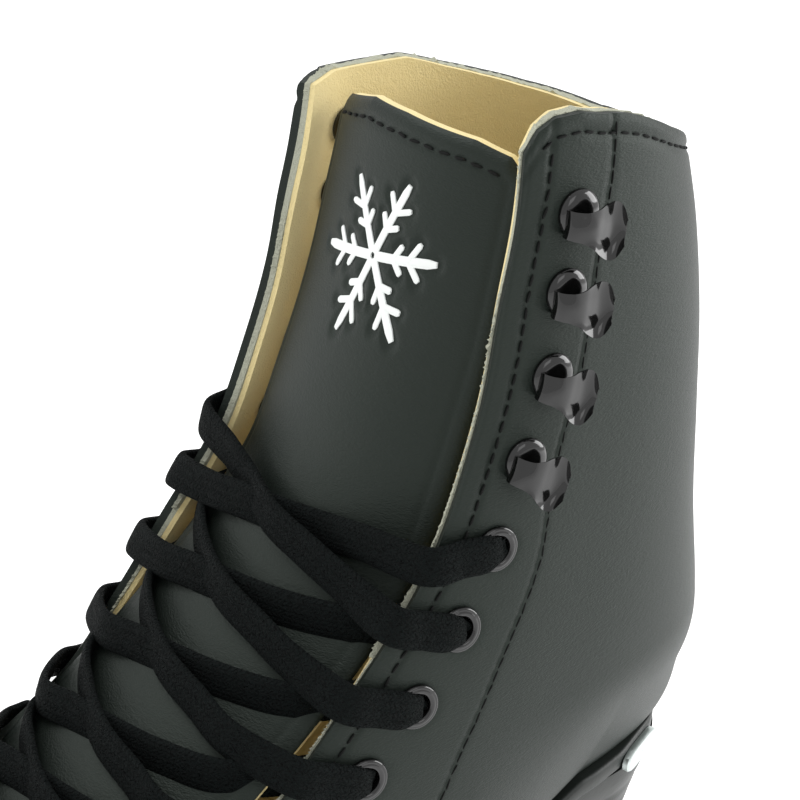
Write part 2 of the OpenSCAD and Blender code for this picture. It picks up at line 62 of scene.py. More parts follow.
camera.matrix_world = Matrix((
    (right.x, upward.x, back.x, 0.0), (right.y, upward.y, back.y, 0.0),
    (right.z, upward.z, back.z, 0.0), (0.0, 0.0, 0.0, 1.0)))
camera.location = target + back * 0.4456
camera.data.sensor_width = 36.0
camera.data.lens = 76.9
camera.data.clip_start = 0.01
scene.camera = camera
scene.view_settings.view_transform = "Standard"

floor_mesh = bpy.data.meshes.new("floor")
floor_mesh.from_pydata([(-9, -9, 0), (9, -9, 0), (9, 9, 0), (-9, 9, 0)], [], [(0, 1, 2, 3)])
floor = bpy.data.objects.new("floor", floor_mesh)
scene.collection.objects.link(floor)
floor_mat = bpy.data.materials.new("floor")
floor_mat.use_nodes = True
floor_main = floor_mat.node_tree.nodes["Principled BSDF"]
floor_main.inputs["Base Color"].default_value = (0.95, 0.95, 0.95, 1)
floor_main.inputs["Roughness"].default_value = 0.7
floor_main.inputs["Emission Color"].default_value = (1, 1, 1, 1)
floor_main.inputs["Emission Strength"].default_value = 0.3
floor_mesh.materials.append(floor_mat)

world = bpy.data.worlds.new("studio")
scene.world = world
world.use_nodes = True
surround = world.node_tree.nodes["Background"]
surround.inputs["Color"].default_value = (1.0, 1.0, 1.0, 1)
surround.inputs["Strength"].default_value = 0.9


def soft_light(name, place, aim, size, power):
    """Square area light of side size at place, its face turned to aim, giving power watts."""
    data = bpy.data.lights.new(name, "AREA")
    data.size = size
    data.energy = power
    lamp = bpy.data.objects.new(name, data)
    scene.collection.objects.link(lamp)
    lamp.location = place
    lamp.rotation_euler = (Vector(aim) - Vector(place)).to_track_quat("-Z", "Y").to_euler()


soft_light("key", (0.1, 1.2, 0.9), (0.1, 0, 0.2), 0.6, 1.5)
soft_light("rim", (-1.0, 0.6, 0.5), (0.05, 0, 0.2), 0.7, 8)
soft_light("top", (0.2, -0.5, 1.3), (0.1, 0, 0.2), 0.7, 5)
soft_light("front", (0.95, -0.8, 0.4), (0.1, 0, 0.2), 0.4, 1.6)

# ---- Black leather ----
# Facings, quarters, backstay and vamp: 2 mm synthetic leather with a fine creased grain, a shallow
# dip along every row of stitches and a rounded cut edge.

# Sections from the cuff down round the ankle to the toe, in millimetres: x and z of the front, x and z
# of the back, half the width, and the middle's y.
ROWS = np.array([
    [107, 286, 31, 286, 38, 0], [110, 268, 26, 268, 39.5, 0], [114, 251, 20, 249, 41, 0],
    [119, 232, 15, 226, 42.2, 0], [126, 214, 12, 201, 43.6, 0], [134, 197, 9, 175, 45, 0],
    [147, 181, 4, 149, 46.8, 0], [162, 165, 0, 126, 47.2, 0], [180, 149, 4, 101, 46.8, 0],
    [198, 135, 68, 90, 45.5, 0], [217, 123, 128, 68, 46, 1], [238, 115, 174, 53, 48, 1],
    [258, 110, 212, 50, 49, -1], [275, 102, 246, 50, 45, -4], [288, 90, 274, 55, 34, -8],
    [293, 74, 291, 64, 3, -11]], float)
# Angle of the throat edge, the lace holes and the panel seam at each section.
EDGE = np.array([66, 65, 62, 61, 59, 56, 52, 50, 49, 44, 38], float)
HOLE = np.array([85, 84, 81, 79, 75, 71, 67, 64, 60, 58, 56], float)
SEAM = np.array([91, 90, 87, 85, 82, 82, 79, 78, 78, 77, 76], float)
# Section of each eyelet, the top of the sole along x, and the section of the top line by angle.
EYES = [4.8, 5.65, 6.5, 7.3, 8.0, 8.6, 9.2]
SEAT_X = [-10, 50, 90, 130, 155, 170, 250, 275, 305]
SEAT_Z = [107, 105, 92, 74, 63, 61, 61, 63, 68]
TOP_OUT = ([60, 66, 70, 76, 84, 98, 115, 130, 150, 180],
           [0.8, 0.62, 0.42, 0.3, 0.28, 0.45, 0.7, 0.88, 1.08, 1.2])
TOP_IN = ([60, 66, 75, 99, 115, 131, 148, 180], [0.9, 0.8, 0.7, 0.72, 0.88, 1.0, 1.1, 1.2])
# Section where the throat ends, leather thickness, leather length of one cuff section, and how far the
# stitches stand from the throat edge, from the top line and from each other.
THROAT = 9.75
LEATHER = 2.0
SECTION_MM = 17.5
EDGE_SEW, TOP_SEW, STITCH = 6.2, 3.4, 3.4


def curve(table, t):
    """Catmull-Rom value of a table at t: the cubic through rows i and i+1 with slopes from their
    neighbours."""
    table = np.asarray(table, float)
    n = len(table)
    t = np.clip(np.asarray(t, float), 0, n - 1.0001)
    i = np.floor(t).astype(int)
    f = t - i
    a, b, c, d = (table[np.clip(i + k, 0, n - 1)] for k in (-1, 0, 1, 2))
    if table.ndim > 1:
        f = f[..., None]
    bend, twist = 2 * a - 5 * b + 4 * c - d, 3 * b - a - 3 * c + d
    return 0.5 * (2 * b + (c - a) * f + bend * f**2 + twist * f**3)


def boot(v, th, off):
    """Point at section v, angle th in degrees (negative on the inner side) and depth off, in millimetres:
    middle + axis * sgn(c)|c|^(2/n), width * sgn(s)|s|^(2/n), with n 2.5 in front and 2.7 behind, kept
    above the sole and tucked in by up to 24 % towards the heel."""
    v, th, off = np.broadcast_arrays(np.asarray(v, float), np.asarray(th, float), np.asarray(off, float))
    r = curve(ROWS, v)
    c, s = np.cos(np.radians(th)), np.sin(np.radians(th))
    e = np.where(c >= 0, 2 / 2.5, 2 / 2.7)
    half = np.hypot(r[..., 0] - r[..., 2], r[..., 1] - r[..., 3]) / 2
    k = np.maximum(0.15, (half - off) / half) * np.sign(c) * np.abs(c) ** e / 2
    x = (r[..., 0] + r[..., 2]) / 2 + (r[..., 0] - r[..., 2]) * k
    z = (r[..., 1] + r[..., 3]) / 2 + (r[..., 1] - r[..., 3]) * k
    y = r[..., 5] + np.maximum(1, r[..., 4] - off) * np.sign(s) * np.abs(s) ** e
    z = np.maximum(z, np.interp(x, SEAT_X, SEAT_Z) + off)
    t, g = np.clip((150 - z) / 45, 0, 1), np.clip((100 - x) / 50, 0, 1)
    return np.stack([x, y * (1 - 0.24 * t * t * (3 - 2 * t) * g), z], -1)


def top_v(th):
    """Section number of the top line at an angle, from the table of that side."""
    th = np.asarray(th, float)
    return np.where(th >= 0, np.interp(np.abs(th), *TOP_OUT), np.interp(np.abs(th), *TOP_IN))


def new_object(name, verts, faces, body, uv=None, sharp=40.0):
    """Mesh object from millimetre vertices; faces smooth, edges above sharp degrees kept crisp; rides
    on body."""
    mesh = bpy.data.meshes.new(name)
    mesh.from_pydata([tuple(p) for p in (np.asarray(verts) * 0.001).tolist()], [], faces)
    if uv is not None:
        layer = mesh.uv_layers.new(name="UVMap")
        index = np.empty(len(mesh.loops), np.int32)
        mesh.loops.foreach_get("vertex_index", index)
        layer.data.foreach_set("uv", np.asarray(uv, float)[index].ravel())
    mesh.update()
    mesh.polygons.foreach_set("use_smooth", np.ones(len(mesh.polygons), bool))
    mesh.set_sharp_from_angle(angle=math.radians(sharp))
    obj = bpy.data.objects.new(name, mesh)
    scene.collection.objects.link(obj)
    if body:
        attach(obj, body)
    return obj


def slab(name, outer, inner, body, uv=None, wrap=False, sharp=40.0):
    """Closed solid between two grids of points, outer facing out; wrap joins its last column to its
    first."""
    m, n = outer.shape[:2]
    k = m * n
    idx = np.arange(k).reshape(m, n)
    cols = n if wrap else n - 1
    i, j = np.meshgrid(np.arange(m - 1), np.arange(cols), indexing="ij")
    j2 = (j + 1) % n
    a, b, c, d = idx[i, j].ravel(), idx[i + 1, j].ravel(), idx[i + 1, j2].ravel(), idx[i, j2].ravel()
    faces = np.stack([a, b, c, d], 1).tolist() + (np.stack([a, d, c, b], 1) + k).tolist()
    rim = [(idx[0, q], idx[0, (q + 1) % n]) for q in range(cols)]
    rim += [(idx[m - 1, (q + 1) % n], idx[m - 1, q]) for q in range(cols)]
    if not wrap:
        rim += [(idx[q + 1, 0], idx[q, 0]) for q in range(m - 1)]
        rim += [(idx[q, n - 1], idx[q + 1, n - 1]) for q in range(m - 1)]
    faces += [(int(p), int(q), int(q) + k, int(p) + k) for p, q in rim]
    verts = np.concatenate([outer.reshape(-1, 3), inner.reshape(-1, 3)])
    probe = outer[m // 2, n // 2]
    n0 = np.cross(outer[m // 2 + 1, n // 2] - probe, outer[m // 2, (n // 2 + 1) % n] - probe)
    if np.dot(n0, probe - inner[m // 2, n // 2]) < 0:
        faces = [tuple(reversed(f)) for f in faces]
    uvs = None
    if uv is not None:
        uvs = np.concatenate([uv.reshape(-1, 2), uv.reshape(-1, 2)])
    return new_object(name, verts, faces, body, uvs, sharp)


def shader(name, color, rough, **extra):
    """New principled material and its node tree; extra names sockets by word with _ for a space."""
    mat = bpy.data.materials.new(name)
    mat.use_nodes = True
    tree = mat.node_tree
    main = tree.nodes["Principled BSDF"]
    main.inputs["Base Color"].default_value = (*color, 1)
    main.inputs["Roughness"].default_value = rough
    for word, value in extra.items():
        main.inputs[word.replace("_", " ")].default_value = value
    return mat, tree, main


def grain(tree, main, scales, strengths, distance, stretch=(1, 1, 1)):
    """Adds fine height from noise of the given scales in object space, stretched along each axis."""
    coords = tree.nodes.new("ShaderNodeTexCoord")
    place = tree.nodes.new("ShaderNodeMapping")
    place.inputs["Scale"].default_value = stretch
    tree.links.new(coords.outputs["Object"], place.inputs["Vector"])
    last = None
    for scale, strength in zip(scales, strengths):
        noise = tree.nodes.new("ShaderNodeTexNoise")
        noise.inputs["Scale"].default_value = scale
        noise.inputs["Detail"].default_value = 3
        tree.links.new(place.outputs["Vector"], noise.inputs["Vector"])
        bump = tree.nodes.new("ShaderNodeBump")
        bump.inputs["Strength"].default_value = strength
        bump.inputs["Distance"].default_value = distance
        tree.links.new(noise.outputs["Fac"], bump.inputs["Height"])
        if last:
            tree.links.new(last.outputs["Normal"], bump.inputs["Normal"])
        last = bump
    tree.links.new(last.outputs["Normal"], main.inputs["Normal"])
    return last


leather, leather_tree, leather_main = shader("upper_leather", (0.0075, 0.0105, 0.0085), 0.46,
                                             Specular_IOR_Level=0.3, Specular_Tint=(0.88, 1.0, 0.91, 1))
grain(leather_tree, leather_main, (900, 2300, 60), (0.22, 0.4, 0.12), 0.0004, (0.6, 0.6, 2.0))


def mm_per_degree(v, th):
    """Length on the leather of one degree of section angle."""
    return np.linalg.norm(boot(v, th + 0.5, 0) - boot(v, th - 0.5, 0), axis=-1)


def leather_depth(v, th):
    """Depth of the outer face: Gaussian dips along the edge stitches, the panel seam, the top-line
    stitches and round each eyelet, a well at each eyelet's hole, and a rounded cut edge."""
    a = np.abs(th)
    scale = mm_per_degree(v, th)
    d_edge = (a - curve(EDGE, v)) * scale
    d_seam = (a - curve(SEAM, v)) * scale
    d_top = (v - top_v(th)) * SECTION_MM
    cuff = v < THROAT
    dip = 0.45 * np.exp(-(((d_edge - EDGE_SEW) / 1.0) ** 2)) * cuff
    dip = dip + 0.12 * np.exp(-(((d_edge - 1.3) / 0.35) ** 2)) * cuff
    dip = dip + 0.3 * np.exp(-((d_seam / 0.6) ** 2)) * cuff
    dip = dip + 0.45 * np.exp(-(((d_top - TOP_SEW) / 1.0) ** 2))
    here = boot(v, a, 0)
    for hole in EYES:
        gap = np.linalg.norm(here - boot(hole, curve(HOLE, hole), 0), axis=-1)
        dip = dip + 0.35 * np.exp(-(((gap - 4.2) / 1.6) ** 2))
        # Inside 3.2 mm of a hole the face sinks 1.85 mm, below the eyelet's closed black floor of painted
        # shade.
        dip = np.where(gap < 3.2, 1.85, dip)
    rim = np.exp(-np.maximum(d_edge, 0) / 0.45) * cuff + np.exp(-np.maximum(d_top, 0) / 0.45)
    return dip + 0.5 * rim


def patch_rows(v1, th0, th1, nv, nt, side):
    """Grids of section number and signed angle from the top line down to v1, between two tables of
    angle: nv steps down, nt across."""
    w = 0.3 + (v1 - 0.3) * (np.arange(nv + 1) / nv)[:, None]
    f = (np.arange(nt + 1) / nt)[None, :]
    th = curve(th0, w) + (curve(th1, w) - curve(th0, w)) * f
    top = top_v(side * th)
    v = top + (v1 - top) * (np.arange(nv + 1) / nv)[:, None]
    return v, side * th


back_table = np.full(11, 180.0)
for side, word in ((1, "left"), (-1, "right")):
    v, th = patch_rows(THROAT, EDGE, SEAM, 260, 60, side)
    face = boot(v, th, leather_depth(v, th))
    facing = slab("facing_" + word + "_skin", face, boot(v, th, LEATHER), "boot")
    facing.data.materials.append(leather)
    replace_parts(facing, "facing_" + word)
    v, th = patch_rows(9.0, SEAM, back_table, 200, 110, side)
    face = boot(v, th, leather_depth(v, th))
    quarter = slab("quarter_" + word + "_skin", face, boot(v, th, LEATHER), "boot")
    quarter.data.materials.append(leather)
    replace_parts(quarter, "quarter_" + word)

STAY_HALF = 5.5
stay_v = np.linspace(1.22, 7.6, 160)[:, None]
stay_y = np.linspace(-STAY_HALF, STAY_HALF, 13)[None, :]
stay_share = np.clip(np.abs(stay_y) / curve(ROWS, stay_v)[..., 4], 0, 1)
stay_th = 180 - np.degrees(np.arcsin(stay_share**1.35)) * np.sign(stay_y)
stay_in = boot(stay_v, stay_th, 0.3)
stay_out = boot(stay_v, stay_th, -1.1 + 0.9 * (np.abs(stay_y) / STAY_HALF) ** 8 + 0 * stay_v)
backstay = slab("backstay_skin", stay_out, stay_in, "boot")
backstay.data.materials.append(leather)
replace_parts(backstay, "backstay")

VAMP_STEP = ([75.5, 77.5], [THROAT + 0.02, 9.02])
vamp_th = np.concatenate([
    np.linspace(-179.5, -77.5, 70), np.linspace(-75.5, 75.5, 121), np.linspace(77.5, 179.5, 70)])[None, :]
vamp_start = np.interp(np.abs(vamp_th), *VAMP_STEP)
vamp_f = np.linspace(0, 1, 150)[:, None]
vamp_v = vamp_start + (15 - vamp_start) * vamp_f
lip = 0.6 * np.exp(-(vamp_v - vamp_start) * 40)


def closed_toe(rows, ahead):
    """The grid and one more row that closes its last ring: the ring drawn in to 4 % about its middle
    and moved ahead millimetres to the front."""
    middle = rows[-1:].mean(1, keepdims=True)
    return np.concatenate([rows, middle + (rows[-1:] - middle) * 0.04 + np.array([ahead, 0.0, 0.0])])


vamp = slab("vamp_skin", closed_toe(boot(vamp_v, vamp_th + 0 * vamp_f, lip), 0.4),
            closed_toe(boot(vamp_v, vamp_th + 0 * vamp_f, LEATHER), 0.4 - LEATHER), "boot", sharp=70)
vamp.data.materials.append(leather)
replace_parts(vamp, "vamp")

# ---- Foam and lining ----
# White foam with a ragged cut edge shows between the leather and the tan lining all round the
# throat and the top line, pinched thin where the layers are sewn together at the throat edge.
foam_mat, foam_tree, foam_main = shader("foam", (0.46, 0.47, 0.37), 0.95)
grain(foam_tree, foam_main, (1500, 4000), (0.9, 0.8), 0.0005)
lining_mat, lining_tree, lining_main = shader("lining", (0.82, 0.68, 0.34), 0.95, Sheen_Weight=0.15,
                                              Sheen_Roughness=0.5)
grain(lining_tree, lining_main, (700, 2600), (0.35, 0.6), 0.0005)
FOAM_CUFF, FOAM_LOW, LINING = 2.2, 1.4, 1.2
LINE_O = LEATHER + FOAM_CUFF + (FOAM_LOW - FOAM_CUFF) * np.clip((np.arange(16) - 5.5) / 2, 0, 1)
LINE_I = LINE_O + LINING
rng = np.random.default_rng(4)
narrow = EDGE + 12.0


def pinch(v, th):
    """How much thinner the foam is near the throat edge: 1.1 mm * exp(-distance from the edge / 3 mm)."""
    return 1.1 * np.exp(-np.maximum(np.abs(th) - curve(EDGE, v), 0) * mm_per_degree(v, th) / 3.0)


def ragged(v, th, side, wave_v, wave_th, depth):
    """Layer of foam with its rows near the top line and its columns near the edge pushed out at random."""
    near = np.exp(-(((np.abs(th) - curve(EDGE, v)) * mm_per_degree(v, th) / 0.4) ** 2))
    top_near = np.exp(-np.maximum(v - top_v(th), 0) * 40)
    torn = side * near * (0.2 + 0.5 * np.abs(wave_th))
    return boot(v - 0.012 * top_near * np.abs(wave_v), th - torn, depth)


for side, word in ((1, "left"), (-1, "right")):
    for part, low_v, wide, rows, cols in (
            ("upper", 6.0, back_table, 260, 90), ("lower", 9.2, narrow, 640, 24)):
        v, th = patch_rows(low_v, EDGE, wide, rows, cols, side)
        rough = [rng.normal(0, 1, v.shape) for _ in range(4)]
        outer = ragged(v, th, side, rough[0], rough[1], LEATHER)
        inner = ragged(v, th, side, rough[2], rough[3], curve(LINE_O, v) - pinch(v, th))
        foam = slab("foam_" + word + "_" + part, outer, inner, "boot")
        foam.data.materials.append(foam_mat)
        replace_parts(foam, "foam_" + word)
    v, th = patch_rows(9.2, EDGE, back_table, 220, 110, side)
    thin = pinch(v, th)
    lining = slab("lining_" + word + "_skin", boot(v, th, curve(LINE_O, v) - thin),
                  boot(v, th, curve(LINE_I, v) - thin), "boot")
    lining.data.materials.append(lining_mat)
    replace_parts(lining, "lining_" + word)

# ---- Tongue ----
# Padded leather tongue bowed between the facings, folding at the top lace crossing, with a
# filled white snowflake and a line of stitches under its top edge.
TONGUE_D = 20 + np.array([0, 0, 0, 0, 0, 0, -1, -4, -8, -12, -14.5, -15], float)
TONGUE_W = np.array([30, 30, 30.5, 31, 31.5, 32, 33, 33, 33, 32, 31, 30], float)
TONGUE_TOP = ([-1, -0.85, -0.4, 0, 0.6, 0.85, 1], [1.15, 0.85, 0.68, 0.68, 0.75, 0.85, 1.1])
TONGUE_BOW = 9.0
TONGUE_HALF = 31.0


def tongue_at(v, s, d):
    """Point of the tongue at section v, s from -1 to 1 across and depth d: front of the section moved in by
    TONGUE_D + bow * s^2 + d along the section's axis, and out sideways by s * TONGUE_W."""
    v, s, d = np.broadcast_arrays(np.asarray(v, float), np.asarray(s, float), np.asarray(d, float))
    r = curve(ROWS, v)
    ax, az = r[..., 2] - r[..., 0], r[..., 3] - r[..., 1]
    length = np.hypot(ax, az)
    q = curve(TONGUE_D, v) + TONGUE_BOW * s * s + d
    y = r[..., 5] + s * curve(TONGUE_W, v)
    return np.stack([r[..., 0] + ax / length * q, y, r[..., 1] + az / length * q], -1)


EMBLEM_V = 2.3
strokes = []
for turn in range(6):
    arm = np.radians(60 * turn + 8)
    way = np.array([np.cos(arm), np.sin(arm)])
    strokes.append((way * 0.6, way * 17.0, 0.9))
    for root, reach in ((6.0, 3.6), (10.0, 4.6)):
        for lean in (-50, 50):
            turned = arm + math.radians(lean)
            tip = way * root + np.array([math.cos(turned), math.sin(turned)]) * reach
            strokes.append((way * root, tip, 0.65))


def stroke_gap(across, along):
    """Distance in millimetres from a place on the emblem to its nearest stroke's edge, by the distance
    from a point to a segment."""
    gap = np.full(np.broadcast(across, along).shape, 99.0)
    for a, b, half in strokes:
        ab = b - a
        t = np.clip(((across - a[0]) * ab[0] + (along - a[1]) * ab[1]) / ab.dot(ab), 0, 1)
        gap = np.minimum(gap, np.hypot(across - a[0] - t * ab[0], along - a[1] - t * ab[1]) - half)
    return gap


tongue_s = np.linspace(-1, 1, 145)[None, :]
tongue_f = np.linspace(0, 1, 321)[:, None]
tongue_top = np.interp(tongue_s, *TONGUE_TOP)
tongue_v = tongue_top + (11 - tongue_top) * tongue_f
rim_mm = np.minimum((1 - np.abs(tongue_s)) * TONGUE_HALF, (tongue_v - tongue_top) * SECTION_MM)
tongue_round = 1.6 * np.exp(-rim_mm / 0.9) + 0.35 * np.exp(-(((rim_mm - TOP_SEW) / 0.8) ** 2))
emblem_gap = stroke_gap(tongue_s * TONGUE_HALF * np.ones_like(tongue_v), (EMBLEM_V - tongue_v) * SECTION_MM)
tongue_round = tongue_round + 0.55 * np.exp(-(np.maximum(emblem_gap, 0) / 0.9) ** 2)
tongue = slab("tongue_skin", tongue_at(tongue_v, tongue_s, tongue_round),
              tongue_at(tongue_v, tongue_s, 1.8), None)
tongue.data.materials.append(leather)
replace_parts(tongue, "tongue_upper", "tongue_lower")
pad_v, pad_s = tongue_v[::2, ::2], tongue_s[:, ::2] * 0.985
pad = slab("tongue_pad", tongue_at(pad_v, pad_s, 1.82), tongue_at(pad_v, pad_s, 3.6), None)
pad.data.materials.append(lining_mat)
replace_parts(pad, "tongue_upper_lining", "tongue_lower_lining")
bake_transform(tongue)
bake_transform(pad)

white_mat, _, _ = shader("emblem_white", (0.82, 0.85, 0.83), 0.4)


def closed_bars(grid):
    """Vertices and faces of closed bars from a grid of bar, ring and corner, each ring's corners turning
    anticlockwise seen from the last ring: quads between rings and a flat face at both ends."""
    bars, rings, corners = grid.shape[:3]
    k, m = np.meshgrid(np.arange(rings - 1) * corners, np.arange(corners), indexing="ij")
    q = (m + 1) % corners
    sides = np.stack([k + m, k + q, k + corners + q, k + corners + m], -1).reshape(-1, 4)
    ends = np.array([np.arange(corners)[::-1], np.arange(corners) + (rings - 1) * corners])
    base = np.arange(bars)[:, None, None] * rings * corners
    faces = (base + sides).reshape(-1, 4).tolist() + (base + ends).reshape(-1, corners).tolist()
    return grid.reshape(-1, 3), faces


stroke_a, stroke_b = (np.array([stroke[k] for stroke in strokes])[:, None] for k in (0, 1))
stroke_half = np.array([stroke[2] for stroke in strokes])[:, None, None, None]
stroke_way = (stroke_b - stroke_a) / np.linalg.norm(stroke_b - stroke_a, axis=-1, keepdims=True)
stroke_side = np.stack([-stroke_way[..., 1], stroke_way[..., 0]], -1)[:, :, None]
share = np.linspace(0, 1, 9)[None, :, None]
middle = (stroke_a + (stroke_b - stroke_a) * share)[:, :, None]
taper = stroke_half * np.where(share < 1, 1.0, 0.6)[..., None]
across = np.array([1, 1, 0.6, -0.6, -1, -1])[None, None, :, None]
deep = np.array([0.75, 0.28, 0.16, 0.16, 0.28, 0.75])
spot = middle + stroke_side * across * taper
bars = tongue_at(EMBLEM_V - spot[..., 1] / SECTION_MM, spot[..., 0] / TONGUE_HALF, deep)
emblem = new_object("tongue_emblem_white", *closed_bars(bars), "tongue_top")
emblem.data.materials.append(white_mat)
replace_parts(emblem, "tongue_emblem")

# ---- Stitches ----
# Black thread, one stitch every 3.4 mm, sunk in the dips of the leather along the throat edge, the
# panel seam, the top line, the back edge of the vamp and the rim of the tongue.
thread, _, _ = shader("thread", (0.004, 0.0045, 0.004), 0.75, Specular_IOR_Level=0.2)


def stitches(name, line, pitch, share, radius, body):
    """One capsule per pitch of a millimetre line, share of the pitch long: rings of 6 at
    radius * sqrt(1 - 0.97 t^4), each slipped along and turned by a little at random; the row is one mesh."""
    run = np.concatenate([[0], np.cumsum(np.linalg.norm(np.diff(line, axis=0), axis=1))])
    starts = np.arange(0, run[-1] - pitch, pitch)[:, None]
    slip = rng.normal(0, 1, (len(starts), 2)) * (0.06, 0.1)
    t = np.linspace(-1, 1, 7)
    at = starts + pitch * (0.5 + share / 2 * t) + slip[:, :1]
    p = np.stack([np.interp(at, run, line[:, k]) for k in range(3)], -1)
    d = p[:, -1] - p[:, 0]
    d /= np.linalg.norm(d, axis=1, keepdims=True)
    u = np.cross(d, (0.3, 0.5, 0.8))
    u /= np.linalg.norm(u, axis=1, keepdims=True)
    w = np.cross(d, u)
    p = p + t[:, None] * u[:, None] * slip[:, 1:, None]
    a = 2 * np.pi * np.arange(6)[:, None] / 6
    ring = u[:, None] * np.cos(a) + w[:, None] * np.sin(a)
    r = radius * np.sqrt(1 - 0.97 * t**4)
    bars = p[:, :, None] + ring[:, None] * r[:, None, None]
    obj = new_object(name, *closed_bars(bars), body, None, 80)
    obj.data.materials.append(thread)
    return obj


for side, word in ((1, "left"), (-1, "right")):
    v = np.linspace(0.62, 9.6, 400)
    th = curve(EDGE, v) + EDGE_SEW / mm_per_degree(v, curve(EDGE, v) + 5)
    v = np.where(v < 1, np.maximum(v, top_v(side * th) + 0.22), v)
    row = stitches("edge_stitches_" + word, boot(v, side * th, 0.3), STITCH, 0.74, 0.3, "boot")
    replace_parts(row, "facing_" + word)
    v = np.linspace(top_v(side * SEAM[0]) + 0.08, 8.95, 400)
    th = curve(SEAM, v) + 0.9 / mm_per_degree(v, curve(SEAM, v))
    row = stitches("seam_stitches_" + word, boot(v, side * th, 0.12), 3.2, 0.9, 0.22, "boot")
    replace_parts(row, "quarter_" + word)
    th = np.linspace(71, 176, 400)
    line = boot(top_v(side * th) + TOP_SEW / SECTION_MM, side * th, 0.3)
    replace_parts(stitches("top_stitches_" + word, line, STITCH, 0.74, 0.3, "boot"), "quarter_" + word)
for letter, behind in (("a", 0.12), ("b", 0.3)):
    th = np.concatenate([np.linspace(-150, -78, 90), np.linspace(-75, 75, 200), np.linspace(78, 150, 90)])
    line = boot(np.interp(np.abs(th), *VAMP_STEP) + behind, th, 0.05)
    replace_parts(stitches("vamp_stitches_" + letter, line, STITCH, 0.74, 0.3, "boot"), "vamp")
s_top = np.linspace(-0.88, 0.88, 200)
line = tongue_at(np.interp(s_top, *TONGUE_TOP) + TOP_SEW / SECTION_MM, s_top, 0.2)
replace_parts(stitches("tongue_stitches_top", line, 3.9, 0.7, 0.36, "tongue_top"), "tongue_upper")

# ---- Laces ----
# One flat braided cotton lace: out of each hole, under the edge, across the tongue and over the other
# edge into the next hole, with both ends pushed down inside.
LACE_W, LACE_T = 8.4, 2.2


def outward(v, th):
    """Unit normal of the leather: the cross product of its two tangents, facing away from the section's
    middle."""
    a = boot(np.add(v, 0.05), th, 0) - boot(np.subtract(v, 0.05), th, 0)
    b = boot(v, np.add(th, 1), 0) - boot(v, np.subtract(th, 1), 0)
    n = np.cross(a, b)
    n /= np.linalg.norm(n, axis=-1, keepdims=True)
    r = curve(ROWS, v)
    mid = np.stack([(r[..., 0] + r[..., 2]) / 2, r[..., 5], (r[..., 1] + r[..., 3]) / 2], -1)
    flip = np.sum(n * (boot(v, th, 0) - mid), -1, keepdims=True) < 0
    return np.where(flip, -n, n)


def lace_skin(v, th, o, side):
    """Path entry beside the leather: point, direction the flat face looks, width."""
    n = outward(v, th)
    p = boot(v, th, o)
    return [p * [1, side, 1], n * [1, side, 1], LACE_W]


def lace_hole(v, side):
    """Path entry inside a lace hole, narrowed to pass through it."""
    u = boot(v + 0.1, curve(HOLE, v + 0.1), 0) - boot(v - 0.1, curve(HOLE, v - 0.1), 0)
    return [boot(v, curve(HOLE, v), LEATHER) * [1, side, 1], u / np.linalg.norm(u) * [1, side, 1], 4.6]


def lace_tongue(v, s, d):
    """Path entry over the tongue at depth d, facing out with a slight lean to its own side."""
    n = tongue_at(v, 0, -10) - tongue_at(v, 0, 0) + np.array([0, s * 6, 0])
    return [tongue_at(v, s, d), n / np.linalg.norm(n), LACE_W]


def crossing(v0, v1, side, lift):
    """Entries from the hole at v0, under its edge, over the tongue and down to the hole at v1 on the
    other side, lifted by lift where it lies on another strand."""
    e0, h0, e1, h1 = curve(EDGE, v0), curve(HOLE, v0), curve(EDGE, v1), curve(HOLE, v1)
    d0 = curve(LINE_I, v0) + 1.5

    def mix(a, b, t):
        """The value a share t of the way from a to b."""
        return a + (b - a) * t

    return [lace_hole(v0, side), lace_skin(v0 + 0.04, mix(h0, e0, 0.3), d0, side),
            lace_skin(v0 + 0.1, mix(h0, e0, 0.9), d0, side),
            lace_tongue(mix(v0, v1, 0.25), side * 0.82, -1.4),
            lace_tongue(mix(v0, v1, 0.38), side * 0.42, -1.7 - lift / 2),
            lace_tongue(mix(v0, v1, 0.5), 0, -1.7 - lift),
            lace_tongue(mix(v0, v1, 0.62), -side * 0.4, -3.0 - lift * 0.6),
            lace_tongue(mix(v0, v1, 0.76), -side * 0.75, -5.6),
            lace_skin(mix(v0, v1, 0.88), e1 - 1, -1.6, -side),
            lace_skin(v1 - 0.04, mix(e1, h1, 0.5), -1.5, -side),
            lace_skin(v1 - 0.01, mix(e1, h1, 0.8), -1.5, -side),
            lace_skin(v1, mix(e1, h1, 0.95), -1.0, -side)[:2] + [6.8],
            lace_skin(v1, mix(e1, h1, 1.03), 0.2, -side)[:2] + [5.6]]


def top_crossing(v0, v1, side, lift):
    """The first crossing: it starts inside the boot, comes out through the hole and stays outside."""
    e0, h0 = curve(EDGE, v0), curve(HOLE, v0)
    rest = crossing(v0, v1, side, lift)
    tail = [lace_skin(a, b, c, side) for a, b, c in
            ((7.6, 98, 11.0), (7.0, 96, 10.0), (6.4, 92, 9.4), (5.8, 87, 8.8), (5.2, 80, 8.2))]
    out = [lace_hole(v0, side), lace_skin(v0, h0 - (e0 - h0) * 0.03, 0.2, side)[:2] + [5.6],
           lace_skin(v0, h0 + (e0 - h0) * 0.05, -1.0, side)[:2] + [6.8],
           lace_skin(v0 + 0.01, h0 + (e0 - h0) * 0.2, -1.5, side),
           lace_skin(v0 + 0.04, h0 + (e0 - h0) * 0.5, -1.5, side), lace_skin(v0 + 0.12, e0 - 1, -1.6, side),
           lace_tongue(v0 + (v1 - v0) * 0.24, side * 0.75, -5.6)]
    return tail + out + rest[4:]


